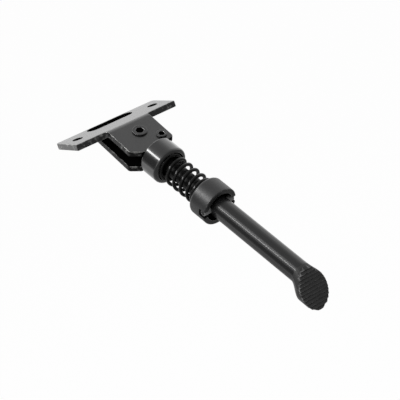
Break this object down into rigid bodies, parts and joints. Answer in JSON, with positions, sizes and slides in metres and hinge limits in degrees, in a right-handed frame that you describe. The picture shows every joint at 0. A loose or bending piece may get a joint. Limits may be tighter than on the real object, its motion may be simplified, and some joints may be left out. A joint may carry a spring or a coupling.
{
  "type": "kick scooter kickstand",
  "caption": "Side stand for a kick scooter: a folded steel bracket with a slotted mounting plate, a pivoting leg with a flared ridged foot, and a spring-loaded collar that holds it up or down.",
  "frame": {"origin": "midway between the two screw holes, on the plate's mounting face", "axes": "+Z out of the mounting face towards the scooter's deck, +X along the plate, the folded cheeks and the leg towards -Y and -Z"},
  "size_m": [0.09, 0.1914, 0.1399],
  "materials": {
    "bracket_coat": "semi-gloss black coat on folded sheet steel",
    "black_hardware": "blackened steel fasteners",
    "leg_coat": "semi-gloss black coat on forged steel",
    "collar_coat": "glossy black coat on turned steel",
    "spring_coat": "black coated spring wire",
    "seat_coat": "fine satin black coat on turned steel",
    "plain_steel": "bare steel"
  },
  "bodies": {
    "bracket": {"mounting_bracket": "bracket_coat", "back_cheek": "bracket_coat", "weld_bead": "bracket_coat", "pivot_bolt": "black_hardware", "pivot_sleeve": "plain_steel", "pivot_washer": "black_hardware", "pivot_nut": "black_hardware", "stop_bolt": "black_hardware", "stop_washer": "black_hardware", "stop_nut": "black_hardware"},
    "leg": {"leg": "leg_coat", "spring": "spring_coat", "spring_seat": "seat_coat", "cross_pin": "plain_steel"},
    "collar": {"sliding_collar": "collar_coat"}
  },
  "joints": [
    {"name": "leg_swing", "type": "hinge", "parent": "bracket", "child": "leg", "pos_m": [0.0011, -0.0246, -0.01523], "axis": [0, 0.5592, -0.829], "range_deg": [0, 85]},
    {"name": "collar_slide", "type": "slide", "parent": "leg", "child": "collar", "axis": [0.0541, -0.8278, -0.5584], "range_m": [0, 0.0154], "deforming": ["spring"]}
  ],
  "couplings": [
    {"joint": "collar_slide", "follows": "leg_swing", "m_per_rad": 0.010313}
  ]
}
